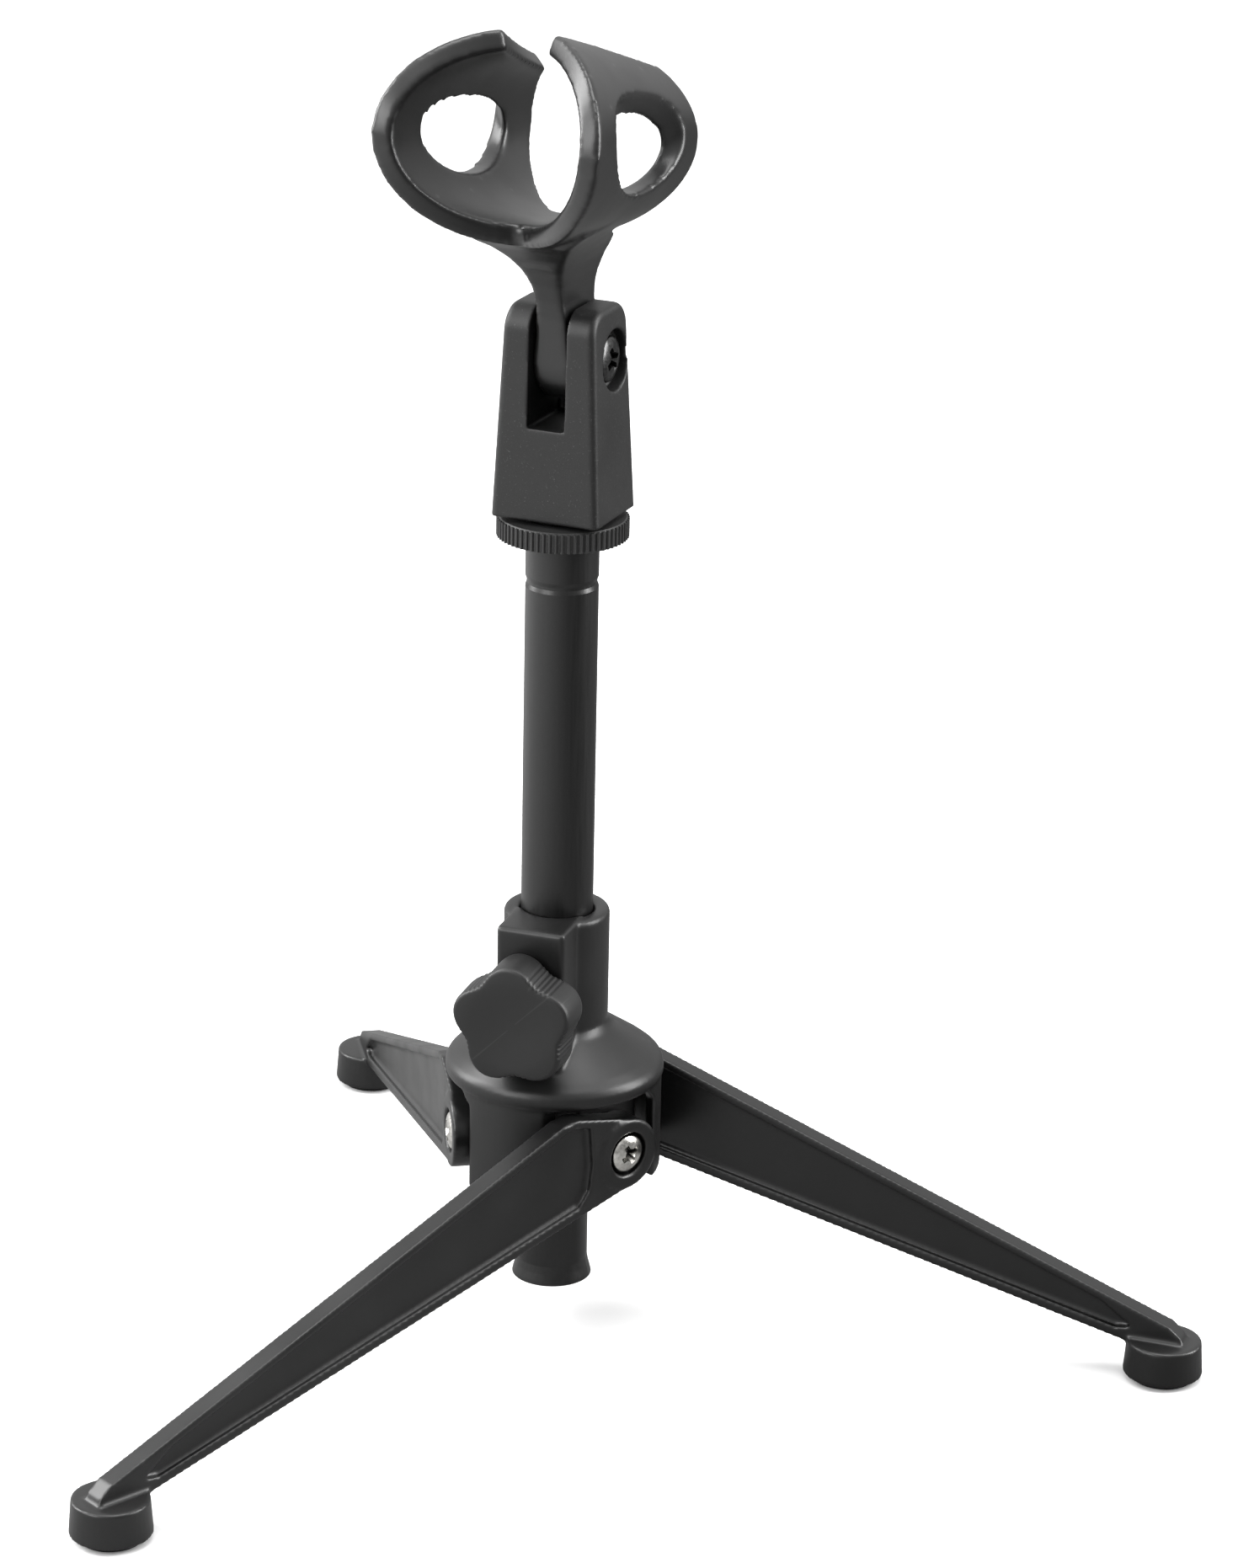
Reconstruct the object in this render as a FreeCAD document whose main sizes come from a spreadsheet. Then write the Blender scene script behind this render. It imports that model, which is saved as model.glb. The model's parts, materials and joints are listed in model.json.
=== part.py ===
import FreeCAD, Part
import Sketcher
import math
import os

# Folding tripod desk stand with a height-adjustable mast and a tilting microphone clip.
# Origin: on the table, under the mast axis. +Z up, -Y is the side of the clamp knob.
# Legs: each leg lies in an upright plane beside the mast and turns on one screw.

doc = FreeCAD.newDocument("desk_mic_stand")
sheet = doc.addObject("Spreadsheet::Sheet", "Dims")
V = FreeCAD.Vector

DIMENSIONS = [
    # mast
    ("tube_radius", 7.14), ("tube_bore_radius", 5.95), ("tube_low", 10.4), ("tube_top", 165.9),
    ("flare_radius", 8.0), ("flare_height", 3.8), ("crimp_level", 157.6), ("crimp_depth", 0.28),
    ("crimp_height", 2.2), ("spigot_radius", 5.9), ("spigot_low", 146.0), ("thread_radius", 7.94),
    ("thread_top", 185.0), ("ring_low", 166.5), ("ring_height", 4.1), ("ring_radius", 12.9),
    ("ring_bore_radius", 8.02),
    # hub
    ("bore_radius", 7.24), ("core_bore_radius", 8.6), ("core_bore_top", 56.0), ("collar_radius", 10.46),
    ("collar_top", 89.9), ("cone_top", 65.6), ("rim_radius", 21.8), ("rim_top", 58.8), ("rim_low", 55.4),
    ("skirt_radius", 21.4), ("skirt_inner_radius", 19.0), ("skirt_low", 34.9),
    ("pad_reach", 14.7), ("pad_half", 7.6), ("roof_low", 54.6), ("window_back", 9.9),
    ("window_front", 15.4), ("window_corner", 2.6), ("window_reach", 14.9),
    ("boss_width", 14.0), ("boss_reach", 15.8), ("boss_low", 58.5), ("boss_lift", 0.3),
    ("boss_edge", 0.9), ("insert_radius", 4.2), ("insert_back", 9.2),
    # clamp knob and its screw
    ("knob_level", 73.9), ("knob_back", 16.6), ("knob_thick", 9.6), ("knob_lobe_reach", 12.5),
    ("knob_core_radius", 10.5),
    ("clamp_screw_radius", 2.5), ("clamp_screw_tip", 7.35), ("clamp_flange_radius", 4.2),
    ("clamp_flange_thick", 2.0),
    # legs
    ("leg_offset", 18.9), ("leg_thick", 4.5), ("leg_web", 1.7), ("pivot_reach", -1.3),
    ("pivot_level", 43.3), ("hip_radius", 7.3), ("hip_out", 2.8), ("hip_in", 3.55),
    ("recess_radius", 4.5), ("recess_depth", 1.9), ("leg_bore_radius", 2.08),
    ("knee_reach", 13.5), ("knee_level", 54.3), ("toe_reach", 127.6), ("toe_level", 10.4),
    ("toe_low", 6.6), ("heel_reach", 116.0), ("heel_level", 7.2), ("foot_reach", 122.9),
    ("cup_low", 1.1), ("cup_top", 8.2), ("cup_radius", 7.95), ("cup_top_radius", 7.45),
    ("pad_radius", 6.55), ("pad_thick", 2.6),
    ("leg_screw_radius", 2.0), ("leg_screw_head", 3.85), ("leg_head_thick", 2.1), ("washer_radius", 5.0),
    ("washer_thick", 0.45),
    # clip
    ("clip_yaw", -4.3), ("clip_pivot_back", 1.6), ("clip_pivot_level", 202.1), ("cheek_round", 5.0),
    ("base_low", 171.4), ("base_high", 212.9), ("base_low_width", 22.3), ("base_high_width", 18.5),
    ("base_front", 9.6), ("base_front_high", 8.4), ("base_back", 9.4), ("base_back_high", 7.6),
    ("base_corner", 1.3), ("slot_half", 3.85), ("slot_floor", 189.6), ("slot_step", 193.4), ("slot_back", 6.4),
    ("socket_radius", 8.0),
    ("socket_top", 186.0), ("clip_recess_radius", 6.0), ("clip_recess_floor", 7.1),
    ("nut_floor", 6.5), ("nut_flats", 8.0), ("nut_thick", 2.7), ("clip_screw_radius", 2.5),
    ("clip_head_radius", 4.5), ("clip_head_thick", 2.3), ("tongue_half", 3.3),
    ("tongue_radius", 8.4), ("tongue_bore_radius", 2.58),
    ("cradle_forward", 9.7), ("cradle_level", 246.4), ("cradle_lean", -9.5), ("jaw_wide", 20.8),
    ("jaw_high", 19.3), ("jaw_taper", 0.06), ("jaw_wall", 3.9), ("jaw_gap_slope", 0.33),
    ("jaw_gap_growth", 0.0203),
]
for row, (alias, value) in enumerate(DIMENSIONS, start=1):
    sheet.set("A%d" % row, alias)
    sheet.set("B%d" % row, str(value))
    sheet.setAlias("B%d" % row, alias)
doc.recompute()
dim = {alias: value for alias, value in DIMENSIONS}


def bind(thing, **links):
    """Ties properties of an object to expressions over the sheet."""
    for name, text in links.items():
        thing.setExpression(name.replace("__", "."), text)


def cells(text):
    """Writes a short expression with the sheet's name before each alias."""
    words = []
    word = ""
    for mark in text + " ":
        if mark.isalnum() or mark == "_":
            word += mark
            continue
        words.append("Dims." + word if word in dim else word)
        words.append(mark)
        word = ""
    return "".join(words).strip()


def number(text):
    """Value of an expression, from the sheet's numbers."""
    found = sheet.evalExpression(cells(text))
    return float(getattr(found, "Value", found))


def new_body(name):
    body = doc.addObject("PartDesign::Body", name)
    body.Label = name
    return body


def plane_of(body, role):
    for feature in body.Origin.OriginFeatures:
        if feature.Role == role:
            return feature
    raise ValueError(role)


def new_sketch(body, name, role, offset=None):
    sketch = body.newObject("Sketcher::SketchObject", name)
    sketch.AttachmentSupport = (plane_of(body, role), "")
    sketch.MapMode = "FlatFace"
    if offset:
        sketch.setExpression("AttachmentOffset.Base.z", cells(offset))
    return sketch


def hold_point(sketch, index, where, across, up):
    """Fixes one point of a sketch from the sketch's origin, by two bound distances."""
    for kind, text in (("DistanceX", across), ("DistanceY", up)):
        value = number(text)
        if abs(value) < 1e-9:
            on_axis = "PointOnObject"
            sketch.addConstraint(Sketcher.Constraint(on_axis, index, where, -2 if kind == "DistanceX" else -1))
            continue
        ends = (-1, 1, index, where) if value > 0 else (index, where, -1, 1)
        slot = sketch.addConstraint(Sketcher.Constraint(kind, *ends, abs(value)))
        sign = "" if value > 0 else "-"
        sketch.setExpression("Constraints[%d]" % slot, "%s(%s)" % (sign, cells(text)))


def polygon(sketch, points):
    """Closed outline of straight lines through points given as pairs of expressions."""
    spots = [V(number(across), number(up), 0) for across, up in points]
    first = sketch.GeometryCount
    count = len(spots)
    for k in range(count):
        sketch.addGeometry(Part.LineSegment(spots[k], spots[(k + 1) % count]))
    for k in range(count):
        following = first + (k + 1) % count
        sketch.addConstraint(Sketcher.Constraint("Coincident", first + k, 2, following, 1))
    for k, (across, up) in enumerate(points):
        hold_point(sketch, first + k, 1, across, up)


def circle(sketch, across, up, radius):
    spot = V(number(across), number(up), 0)
    index = sketch.addGeometry(Part.Circle(spot, V(0, 0, 1), number(radius)))
    hold_point(sketch, index, 3, across, up)
    slot = sketch.addConstraint(Sketcher.Constraint("Radius", index, number(radius)))
    sketch.setExpression("Constraints[%d]" % slot, cells(radius))


def pad(body, sketch, length, name, midplane=False, reverse=False):
    feature = body.newObject("PartDesign::Pad", name)
    feature.Profile = sketch
    feature.setExpression("Length", cells(length))
    feature.Midplane = midplane
    feature.Reversed = reverse
    doc.recompute()
    return feature


def pocket(body, sketch, length, name, midplane=False, reverse=False):
    before = body.Shape.Volume
    feature = body.newObject("PartDesign::Pocket", name)
    feature.Profile = sketch
    feature.setExpression("Length", cells(length))
    feature.Midplane = midplane
    feature.Reversed = reverse
    doc.recompute()
    if body.Shape.Volume > before - 0.01:
        raise ValueError("%s cuts nothing" % name)
    return feature


def turn(body, sketch, name):
    """Revolves a profile drawn on the XZ plane about the upright axis."""
    feature = body.newObject("PartDesign::Revolution", name)
    feature.Profile = sketch
    feature.ReferenceAxis = (sketch, ["V_Axis"])
    feature.Angle = 360
    doc.recompute()
    return feature


parts = []


def keep(thing, name, place=None):
    thing.Label = name
    if place is not None:
        thing.Placement = place
    parts.append(thing)
    return thing


def turned_body(name, points):
    body = new_body(name)
    sketch = new_sketch(body, name + "_profile", "XZ_Plane")
    polygon(sketch, points)
    turn(body, sketch, name + "_turned")
    return body


# ---------------------------------------------------------------- mast
tube = turned_body("mast_tube", [
    ("flare_radius", "tube_low"), ("flare_radius - 0.15", "tube_low + 0.7"),
    ("tube_radius + 0.3", "tube_low + flare_height * 0.6"), ("tube_radius", "tube_low + flare_height"),
    ("tube_radius", "crimp_level - crimp_height / 2"), ("tube_radius - crimp_depth", "crimp_level - 0.3"),
    ("tube_radius - crimp_depth", "crimp_level + 0.3"), ("tube_radius", "crimp_level + crimp_height / 2"),
    ("tube_radius", "tube_top"), ("tube_bore_radius", "tube_top"),
    ("tube_bore_radius", "crimp_level + crimp_height / 2"),
    ("tube_bore_radius - crimp_depth", "crimp_level + 0.3"),
    ("tube_bore_radius - crimp_depth", "crimp_level - 0.3"),
    ("tube_bore_radius", "crimp_level - crimp_height / 2"),
    ("tube_bore_radius", "tube_low + flare_height"),
    ("flare_radius - 1.0", "tube_low"),
])
keep(tube, "mast_tube")

plug = turned_body("mast_plug", [
    ("0", "spigot_low"), ("spigot_radius - 0.8", "spigot_low"), ("spigot_radius", "spigot_low + 0.8"),
    ("spigot_radius", "crimp_level - crimp_height / 2 - 0.2"),
    ("spigot_radius - crimp_depth - 0.05", "crimp_level - crimp_height / 2 + 0.2"),
    ("spigot_radius - crimp_depth - 0.05", "crimp_level + crimp_height / 2 - 0.2"),
    ("spigot_radius", "crimp_level + crimp_height / 2 + 0.2"),
    ("spigot_radius", "tube_top"), ("thread_radius", "tube_top"),
    ("thread_radius", "thread_top - 1.2"), ("thread_radius - 1.2", "thread_top"), ("0", "thread_top"),
])
keep(plug, "mast_plug")

ring = turned_body("lock_ring", [
    ("ring_bore_radius", "ring_low"), ("ring_radius - 0.5", "ring_low"), ("ring_radius", "ring_low + 0.5"),
    ("ring_radius", "ring_low + ring_height - 0.5"), ("ring_radius - 0.5", "ring_low + ring_height"),
    ("ring_bore_radius", "ring_low + ring_height"),
])
keep(ring, "lock_ring")

# ---------------------------------------------------------------- hub
LEG_TURNS = [-120.0, 0.0, 120.0]      # heading of each leg, from +X


def leg_place(heading):
    """A leg is drawn heading along +X with its outer side on +Y, then turned and set beside the mast."""
    spin = FreeCAD.Rotation(V(0, 0, 1), heading)
    return FreeCAD.Placement(spin.multVec(V(0, dim["leg_offset"], 0)), spin)


shell = turned_body("hub_shell", [
    ("bore_radius", "collar_top - 0.5"), ("bore_radius + 0.5", "collar_top"),
    ("collar_radius - 0.6", "collar_top"), ("collar_radius", "collar_top - 0.6"),
    ("collar_radius", "cone_top + 0.9"), ("collar_radius + 0.9", "cone_top - 0.4"),
    ("rim_radius - 2.4", "rim_top + 0.95"), ("rim_radius - 0.6", "rim_top - 0.5"),
    ("rim_radius", "rim_top - 1.6"), ("rim_radius", "rim_low"), ("skirt_radius", "rim_low - 0.3"),
    ("skirt_radius", "skirt_low + 0.3"), ("skirt_radius - 0.3", "skirt_low"),
    ("skirt_inner_radius", "skirt_low"), ("skirt_inner_radius", "roof_low"),
    ("core_bore_radius + 2", "core_bore_top + 2"), ("core_bore_radius", "core_bore_top"),
    ("bore_radius", "core_bore_top + 1.2"),
])
blocks = [shell]
for index, heading in enumerate(LEG_TURNS, start=1):
    block = doc.addObject("Part::Box", "pivot_pad_%d" % index)
    bind(block, Length=cells("2 * pad_half"), Width=cells("pad_reach"), Height=cells("rim_low - pivot_level"))
    spin = FreeCAD.Rotation(V(0, 0, 1), heading)
    corner = V(dim["pivot_reach"] - dim["pad_half"], 0, dim["pivot_level"])
    block.Placement = FreeCAD.Placement(spin.multVec(corner), spin)
    blocks.append(block)
    round_end = doc.addObject("Part::Cylinder", "pivot_round_%d" % index)
    bind(round_end, Radius=cells("pad_half"), Height=cells("pad_reach"))
    round_end.Placement = FreeCAD.Placement(spin.multVec(V(dim["pivot_reach"], 0, dim["pivot_level"])),
                                            spin.multiply(FreeCAD.Rotation(V(1, 0, 0), -90)))
    blocks.append(round_end)
boss = doc.addObject("Part::Box", "clamp_boss_block")
bind(boss, Length=cells("boss_width"), Width=cells("boss_reach - 4"),
     Height=cells("collar_top + boss_lift - boss_low"))
boss.Placement.Base = V(-dim["boss_width"] / 2, -dim["boss_reach"], dim["boss_low"])
doc.recompute()
boss_edges = []
for number_of, edge in enumerate(boss.Shape.Edges, start=1):
    middle = edge.CenterOfMass
    if middle.y < -dim["boss_reach"] + 0.01 and middle.z > dim["boss_low"] + 1:
        boss_edges.append((number_of, dim["boss_edge"], dim["boss_edge"]))
    elif middle.z > dim["collar_top"] and abs(middle.x) > 1:
        boss_edges.append((number_of, dim["boss_edge"] / 2, dim["boss_edge"] / 2))
rounded_boss = doc.addObject("Part::Fillet", "clamp_boss")
rounded_boss.Base = boss
rounded_boss.Edges = boss_edges
blocks.append(rounded_boss)
hub_solid = doc.addObject("Part::MultiFuse", "hub_solid")
hub_solid.Shapes = blocks
hub_solid.Refine = True

cutters = []


def cylinder(name, radius, height, place):
    piece = doc.addObject("Part::Cylinder", name)
    bind(piece, Radius=cells(radius), Height=cells(height))
    piece.Placement = place
    return piece


cutters.append(cylinder("mast_bore", "bore_radius", "collar_top + 2", FreeCAD.Placement()))
cutters.append(cylinder("core_bore", "core_bore_radius", "core_bore_top", FreeCAD.Placement()))
for index, heading in enumerate(LEG_TURNS, start=1):
    body = new_body("leg_window_%d" % index)
    sketch = new_sketch(body, "window_outline_%d" % index, "XZ_Plane")
    polygon(sketch, [
        ("0 - window_back", "skirt_low - 5"), ("window_front", "skirt_low - 5"), ("window_front", "roof_low"),
        ("window_corner - window_back", "roof_low"), ("0 - window_back", "roof_low - window_corner"),
    ])
    pad(body, sketch, "12", "window_depth_%d" % index, reverse=True)
    spin = FreeCAD.Rotation(V(0, 0, 1), heading)
    body.Placement = FreeCAD.Placement(spin.multVec(V(0, dim["window_reach"], 0)), spin)
    cutters.append(body)
    tilt = FreeCAD.Rotation(V(1, 0, 0), -90)
    hole_start = V(dim["pivot_reach"], dim["core_bore_radius"] - 1.5, dim["pivot_level"])
    place = FreeCAD.Placement(spin.multVec(hole_start), spin.multiply(tilt))
    cutters.append(cylinder("screw_hole_%d" % index, "leg_screw_radius + 0.02", "10", place))
front = FreeCAD.Rotation(V(1, 0, 0), 90)
cutters.append(cylinder("insert_seat", "insert_radius", "12", FreeCAD.Placement(
    V(0, -dim["insert_back"], dim["knob_level"]), front)))
cutters.append(cylinder("clamp_hole", "clamp_screw_radius + 0.3", "12", FreeCAD.Placement(
    V(0, 0, dim["knob_level"]), front)))
cut_all = doc.addObject("Part::MultiFuse", "hub_cuts")
cut_all.Shapes = cutters
hub = doc.addObject("Part::Cut", "hub_cut")
hub.Base = hub_solid
hub.Tool = cut_all
hub.Refine = True
doc.recompute()
keep(hub, "hub_body")

insert_tube = cylinder("insert_outside", "insert_radius", "boss_reach - insert_back", FreeCAD.Placement(
    V(0, -dim["insert_back"], dim["knob_level"]), front))
insert_bore = cylinder("insert_bore", "clamp_screw_radius + 0.05", "20", FreeCAD.Placement(
    V(0, 0, dim["knob_level"]), front))
insert = doc.addObject("Part::Cut", "insert_cut")
insert.Base = insert_tube
insert.Tool = insert_bore
keep(insert, "clamp_insert")

# ---------------------------------------------------------------- clamp knob
LOBES = 5
LOBE_START = 95.0


def knob_outline(grow):
    """Five round lobes joined by hollows: a closed curve through evenly spaced points of a smooth wave."""
    top = dim["knob_lobe_reach"] + grow
    low = dim["knob_core_radius"] + grow
    steps = 12 * LOBES
    spots = []
    for k in range(steps):
        angle = 2 * math.pi * k / steps
        wave = 0.5 + 0.5 * math.cos(LOBES * angle)
        reach = low + (top - low) * wave ** 0.8
        heading = angle + math.radians(LOBE_START)
        spots.append(V(reach * math.cos(heading), reach * math.sin(heading), 0))
    curve = Part.BSplineCurve()
    curve.interpolate(Points=spots, PeriodicFlag=True)
    return Part.Wire(curve.toShape())


def lifted(wire, level):
    copy = wire.copy()
    copy.translate(V(0, 0, level))
    return copy


thick = dim["knob_thick"]
RIMS = [(0, -1.1), (1.3, 0.0), (thick - 1.2, -0.1), (thick, -0.9)]      # height and growth of the outline
knob_shape = None
for (low, low_grow), (high, high_grow) in zip(RIMS, RIMS[1:]):
    layer = Part.makeLoft([lifted(knob_outline(low_grow), low), lifted(knob_outline(high_grow), high)], True, True)
    knob_shape = knob_shape.fuse(layer) if knob_shape else layer
dish = Part.makeSphere(60.0, V(0, 0, thick + 60.0 - 0.45))
knob_shape = knob_shape.cut(dish)
flange_seat = Part.makeCylinder(dim["clamp_flange_radius"], dim["clamp_flange_thick"], V(0, 0, 3.0))
knob_shape = knob_shape.cut(Part.makeCylinder(dim["clamp_screw_radius"], 8.0, V(0, 0, -1)).fuse(flange_seat))
knob = doc.addObject("Part::Feature", "knob_moulding")
knob.Shape = knob_shape.removeSplitter()
knob_place = FreeCAD.Placement(V(0, -dim["knob_back"], dim["knob_level"]), front)
keep(knob, "clamp_knob", knob_place)

clamp_screw = turned_body("clamp_screw", [
    ("0", "clamp_screw_tip"), ("clamp_screw_radius - 0.5", "clamp_screw_tip"),
    ("clamp_screw_radius", "clamp_screw_tip + 0.5"), ("clamp_screw_radius", "knob_back + 3"),
    ("clamp_flange_radius", "knob_back + 3"), ("clamp_flange_radius", "knob_back + 3 + clamp_flange_thick"),
    ("clamp_screw_radius", "knob_back + 3 + clamp_flange_thick"),
    ("clamp_screw_radius", "knob_back + 7"), ("0", "knob_back + 7"),
])
keep(clamp_screw, "clamp_screw", FreeCAD.Placement(V(0, 0, dim["knob_level"]), front))

# ---------------------------------------------------------------- legs
for index, heading in enumerate(LEG_TURNS, start=1):
    name = "leg_%d" % index
    leg = new_body(name)
    outline = new_sketch(leg, name + "_side", "XZ_Plane")
    polygon(outline, [
        ("pivot_reach - 1.9", "pivot_level + hip_radius - 0.25"), ("knee_reach - 2.2", "knee_level - 0.4"),
        ("knee_reach + 1.6", "knee_level - 0.75"), ("toe_reach - 3.5", "toe_level + 1.3"),
        ("toe_reach - 0.9", "toe_level - 0.9"), ("toe_reach", "toe_low"),
        ("heel_reach", "heel_level"), ("pivot_reach - 1.8", "pivot_level - hip_radius + 0.2"),
    ])
    pad(leg, outline, "leg_thick", name + "_plate", midplane=True)
    for side, reverse in (("outer", True), ("inner", False)):
        panel = new_sketch(leg, "%s_panel_%s" % (name, side), "XZ_Plane",
                           "leg_thick / 2" if side == "inner" else "0 - leg_thick / 2")
        polygon(panel, [
            ("pivot_reach + 9.6", "pivot_level + 8.2"), ("knee_reach", "knee_level - 2.0"),
            ("heel_reach - 6", "heel_level + 8.2"), ("heel_reach + 1", "heel_level + 3.2"),
            ("heel_reach - 3", "heel_level + 2.8"), ("pivot_reach + 12", "pivot_level - 8.4"),
            ("pivot_reach + 9.6", "pivot_level - 5.5"), ("pivot_reach + 8.9", "pivot_level"),
        ])
        pocket(leg, panel, "(leg_thick - leg_web) / 2", "%s_panel_cut_%s" % (name, side),
               reverse=(side == "outer"))
    hip = new_sketch(leg, name + "_hip_round", "XZ_Plane", "hip_in")
    circle(hip, "pivot_reach", "pivot_level", "hip_radius")
    pad(leg, hip, "hip_in + hip_out", name + "_hip", reverse=True)
    cup = new_sketch(leg, name + "_cup_round", "XY_Plane", "cup_low")
    circle(cup, "foot_reach", "0", "cup_radius")
    cup_pad = pad(leg, cup, "cup_top - cup_low", name + "_cup")
    cup_pad.TaperAngle = -math.degrees(math.atan2(dim["cup_radius"] - dim["cup_top_radius"],
                                                  dim["cup_top"] - dim["cup_low"]))
    doc.recompute()
    seat_round = new_sketch(leg, name + "_pad_seat_round", "XY_Plane", "cup_low")
    circle(seat_round, "foot_reach", "0", "pad_radius")
    pocket(leg, seat_round, "pad_thick - cup_low", name + "_pad_seat", reverse=True)
    bore = new_sketch(leg, name + "_bore_round", "XZ_Plane")
    circle(bore, "pivot_reach", "pivot_level", "leg_bore_radius")
    pocket(leg, bore, "20", name + "_bore", midplane=True)
    recess = new_sketch(leg, name + "_recess_round", "XZ_Plane", "0 - hip_out")
    circle(recess, "pivot_reach", "pivot_level", "recess_radius")
    pocket(leg, recess, "recess_depth", name + "_recess", reverse=True)
    keep(leg, name, leg_place(heading))

    foot = turned_body("foot_pad_%d" % index, [
        ("0", "0"), ("pad_radius - 0.4", "0"), ("pad_radius", "0.4"), ("pad_radius", "pad_thick"),
        ("0", "pad_thick"),
    ])
    spin = FreeCAD.Rotation(V(0, 0, 1), heading)
    keep(foot, "foot_pad_%d" % index, FreeCAD.Placement(
        spin.multVec(V(dim["foot_reach"], dim["leg_offset"], 0)), spin))

    # screw and washer are drawn with their axis upright, then laid along the leg's pivot
    floor = "leg_offset + hip_out - recess_depth + 0.15"
    screw = turned_body("leg_screw_%d" % index, [
        ("0", "core_bore_radius + 0.4"), ("leg_screw_radius - 0.7", "core_bore_radius + 0.4"),
        ("leg_screw_radius", "core_bore_radius + 1.4"), ("leg_screw_radius", floor),
        ("leg_screw_head", floor), ("leg_screw_head", floor + " + leg_head_thick - 1.0"),
        ("leg_screw_head - 0.45", floor + " + leg_head_thick - 0.35"),
        ("leg_screw_head - 1.5", floor + " + leg_head_thick"), ("0", floor + " + leg_head_thick"),
    ])
    tilt = FreeCAD.Rotation(V(1, 0, 0), -90)
    along = FreeCAD.Placement(spin.multVec(V(dim["pivot_reach"], 0, dim["pivot_level"])), spin.multiply(tilt))
    keep(screw, "leg_screw_%d" % index, along)
    washer = turned_body("leg_washer_%d" % index, [
        ("leg_bore_radius", "pad_reach"), ("washer_radius", "pad_reach"),
        ("washer_radius", "pad_reach + washer_thick"), ("leg_bore_radius", "pad_reach + washer_thick"),
    ])
    keep(washer, "leg_washer_%d" % index, along)

# ---------------------------------------------------------------- clip
clip_place = FreeCAD.Placement(V(0, 0, 0), FreeCAD.Rotation(V(0, 0, 1), dim["clip_yaw"]))
sideways = FreeCAD.Rotation(V(0, 1, 0), 90)


def base_rectangle(level, width, front_reach, back_reach):
    half = width / 2
    return Part.makePolygon([V(-half, -front_reach, level), V(half, -front_reach, level),
                             V(half, back_reach, level), V(-half, back_reach, level),
                             V(-half, -front_reach, level)])


block_shape = Part.makeLoft([
    base_rectangle(dim["base_low"], dim["base_low_width"], dim["base_front"], dim["base_back"]),
    base_rectangle(dim["base_high"], dim["base_high_width"], dim["base_front_high"], dim["base_back_high"]),
], True, True)
across_edges = [edge for edge in block_shape.Edges
                if edge.CenterOfMass.z > dim["base_high"] - 0.1 and abs(edge.CenterOfMass.x) < 0.1]
block_shape = block_shape.makeFillet(dim["cheek_round"], across_edges)
side_edges = [edge for edge in block_shape.Edges
              if abs(edge.CenterOfMass.x) > 6 and edge.BoundBox.ZMax > dim["base_low"] + 1]
block_shape = block_shape.makeFillet(dim["base_corner"], side_edges)
pivot = V(0, dim["clip_pivot_back"], dim["clip_pivot_level"])
slot = Part.makeBox(2 * dim["slot_half"], 40, 40, V(-dim["slot_half"], -20, dim["slot_step"]))
# a low wall closes the back of the slot under the tongue
slot_front = Part.makeBox(2 * dim["slot_half"], 20 + dim["slot_back"], dim["slot_step"] - dim["slot_floor"] + 1,
                          V(-dim["slot_half"], -20, dim["slot_floor"]))
slot = slot.fuse(slot_front)
socket = Part.makeCylinder(dim["socket_radius"], dim["socket_top"] - dim["base_low"] + 1,
                           V(0, 0, dim["base_low"] - 1))
bolt_hole = Part.makeCylinder(dim["clip_screw_radius"] + 0.02, 40, pivot - V(20, 0, 0), V(1, 0, 0))
head_recess = Part.makeCylinder(dim["clip_recess_radius"], 10, pivot + V(dim["clip_recess_floor"], 0, 0),
                                V(1, 0, 0))


def hexagon(flats, near, far):
    """Six-sided prism about the pivot axis, between two distances across the clip."""
    corner = flats / math.sqrt(3)
    ring_points = [V(near, corner * math.cos(math.radians(60 * k)), corner * math.sin(math.radians(60 * k)))
                   for k in range(7)]
    face = Part.Face(Part.makePolygon([spot + V(0, pivot.y, pivot.z) for spot in ring_points]))
    return face.extrude(V(far - near, 0, 0))


nut_pocket = hexagon(dim["nut_flats"] + 0.1, -20, -dim["nut_floor"])
for tool in (slot, socket, bolt_hole, head_recess, nut_pocket):
    block_shape = block_shape.cut(tool)
base = doc.addObject("Part::Feature", "clip_base_moulding")
base.Shape = block_shape.removeSplitter()
keep(base, "clip_base", clip_place)

nut_shape = hexagon(dim["nut_flats"], -dim["nut_floor"] - dim["nut_thick"], -dim["nut_floor"])
nut_shape = nut_shape.cut(bolt_hole)
nut = doc.addObject("Part::Feature", "clip_nut_solid")
nut.Shape = nut_shape
keep(nut, "clip_nut", clip_place)

clip_screw = turned_body("clip_screw", [
    ("0", "0 - nut_floor - nut_thick - 0.2"), ("clip_screw_radius - 0.5", "0 - nut_floor - nut_thick - 0.2"),
    ("clip_screw_radius", "0.3 - nut_floor - nut_thick"), ("clip_screw_radius", "clip_recess_floor"),
    ("clip_head_radius", "clip_recess_floor"), ("clip_head_radius", "clip_recess_floor + clip_head_thick - 1.1"),
    ("clip_head_radius - 0.5", "clip_recess_floor + clip_head_thick - 0.4"),
    ("clip_head_radius - 1.6", "clip_recess_floor + clip_head_thick"),
    ("0", "clip_recess_floor + clip_head_thick"),
])
keep(clip_screw, "clip_screw", clip_place.multiply(FreeCAD.Placement(pivot, sideways)))

# ---------------------------------------------------------------- cradle
# Drawn about its own centre: X across, -Y towards the mouth, Z up; then leant and raised.
FRONT_HALF = 28.9
BACK_HALF = 27.2
END_HALF = 9.3
LENS_POWER = 1.28
RIM_STEPS = 48
# window sections from inside to outside: distance across, half length, half height, lift
WINDOW = [(11.0, 14.5, 6.2, -1.8), (15.5, 15.2, 7.0, -1.5), (18.0, 17.3, 9.4, 0.8), (24.0, 19.4, 11.4, 2.4)]


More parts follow.
